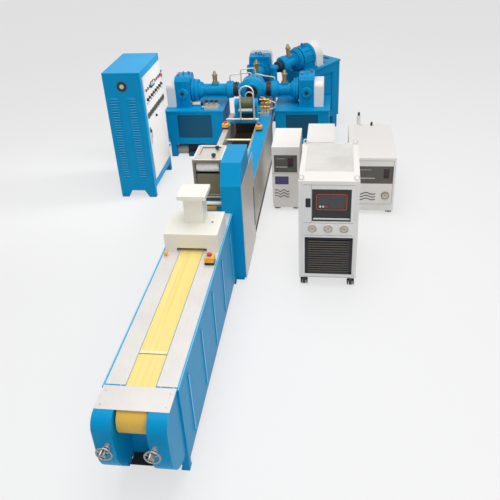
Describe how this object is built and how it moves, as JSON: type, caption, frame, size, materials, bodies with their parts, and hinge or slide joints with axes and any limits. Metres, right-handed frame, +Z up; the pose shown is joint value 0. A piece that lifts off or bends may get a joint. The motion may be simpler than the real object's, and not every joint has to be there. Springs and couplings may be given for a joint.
{
  "type": "foxing extrusion line",
  "caption": "Foxing extrusion line: extruders on one die head, cooling trough, roll stand, belt conveyor with rounded nose, control cabinet and temperature units.",
  "frame": {"origin": "bottom centre of the whole line's box, on the floor", "axes": "+Y along the line from the take-off conveyor's nose to the extruders, +Z up, +X to the right seen from the nose"},
  "size_m": [3.207, 6.955, 1.51],
  "materials": {
    "blue_paint": "gloss",
    "table_plate": "satin",
    "belt_yellow": "matte",
    "roller_steel": "satin",
    "chrome": "polished",
    "hood_white": "satin",
    "stop_yellow": "satin",
    "stop_red": "gloss",
    "black_plastic": "matte",
    "stainless": "brushed",
    "pipework": "satin",
    "roll_white": "satin",
    "roll_olive": "satin",
    "dark_steel": "satin",
    "unit_white": "satin"
  },
  "bodies": {
    "line": {"conveyor_panel_left": "blue_paint", "conveyor_panel_right": "blue_paint", "conveyor_legs": "blue_paint", "conveyor_table": "table_plate", "belt_bed": "blue_paint", "belt": "belt_yellow", "belt_rollers": "roller_steel", "nose_cheeks": "blue_paint", "nose_apron": "blue_paint", "nose_cover": "table_plate", "tunnel_hood": "hood_white", "hood_stack": "hood_white", "stop_box_bases": "black_plastic", "stop_boxes": "stop_yellow", "stop_buttons": "stop_red", "stand_base": "blue_paint", "roll_stand": "stainless", "guide_rolls": "roller_steel", "drive_guard": "blue_paint", "stand_side_plate": "stainless", "trough_left_wall": "stainless", "trough_right_casing": "blue_paint", "trough_floor": "dark_steel", "trough_trim": "stainless", "spray_bar": "stainless", "press_yoke": "blue_paint", "die_head": "blue_paint", "clamp_rings": "dark_steel", "coolant_pipes": "pipework", "feed_ports": "stainless", "pulley_guards": "unit_white", "left_base": "blue_paint", "left_gearbox": "blue_paint", "left_barrel": "blue_paint", "right_base": "blue_paint", "right_gearbox": "blue_paint", "right_barrel": "blue_paint", "back_base": "blue_paint", "back_gearbox": "blue_paint", "back_barrel": "blue_paint", "upper_base": "blue_paint", "upper_gearbox": "blue_paint", "upper_barrel": "blue_paint", "cabinet_near_wall": "blue_paint", "cabinet_far_wall": "blue_paint", "cabinet_back": "blue_paint", "cabinet_roof": "blue_paint", "cabinet_floor": "blue_paint", "cabinet_frame": "blue_paint", "chiller": "unit_white", "heater_left": "unit_white", "heater_middle": "unit_white", "heater_wide": "unit_white", "unit_panels": "black_plastic", "unit_castors": "black_plastic"},
    "handwheel_left": {"handwheel_left": "chrome"},
    "handwheel_right": {"handwheel_right": "chrome"},
    "cabinet_door": {"cabinet_door": "unit_white"},
    "pull_roll": {"pull_roll": "roll_white"},
    "press_roll": {"press_roll": "roll_olive"}
  },
  "joints": [
    {"name": "left_wheel_turn", "type": "hinge", "parent": "line", "child": "handwheel_left", "pos_m": [-0.3255, -3.4255, 0.546], "axis": [0, 1, 0], "continuous": true},
    {"name": "right_wheel_turn", "type": "hinge", "parent": "line", "child": "handwheel_right", "pos_m": [-0.0375, -3.4255, 0.546], "axis": [0, 1, 0], "continuous": true},
    {"name": "door_swing", "type": "hinge", "parent": "line", "child": "cabinet_door", "pos_m": [-1.1595, 1.623, 0.82], "axis": [0, 0, 1], "range_deg": [0, 110]},
    {"name": "pull_roll_turn", "type": "hinge", "parent": "line", "child": "pull_roll", "pos_m": [-0.1695, -0.6655, 1.097], "axis": [1, 0, 0], "continuous": true},
    {"name": "press_roll_turn", "type": "hinge", "parent": "line", "child": "press_roll", "pos_m": [-0.1525, 1.7245, 0.846], "axis": [1, 0, 0], "continuous": true}
  ]
}
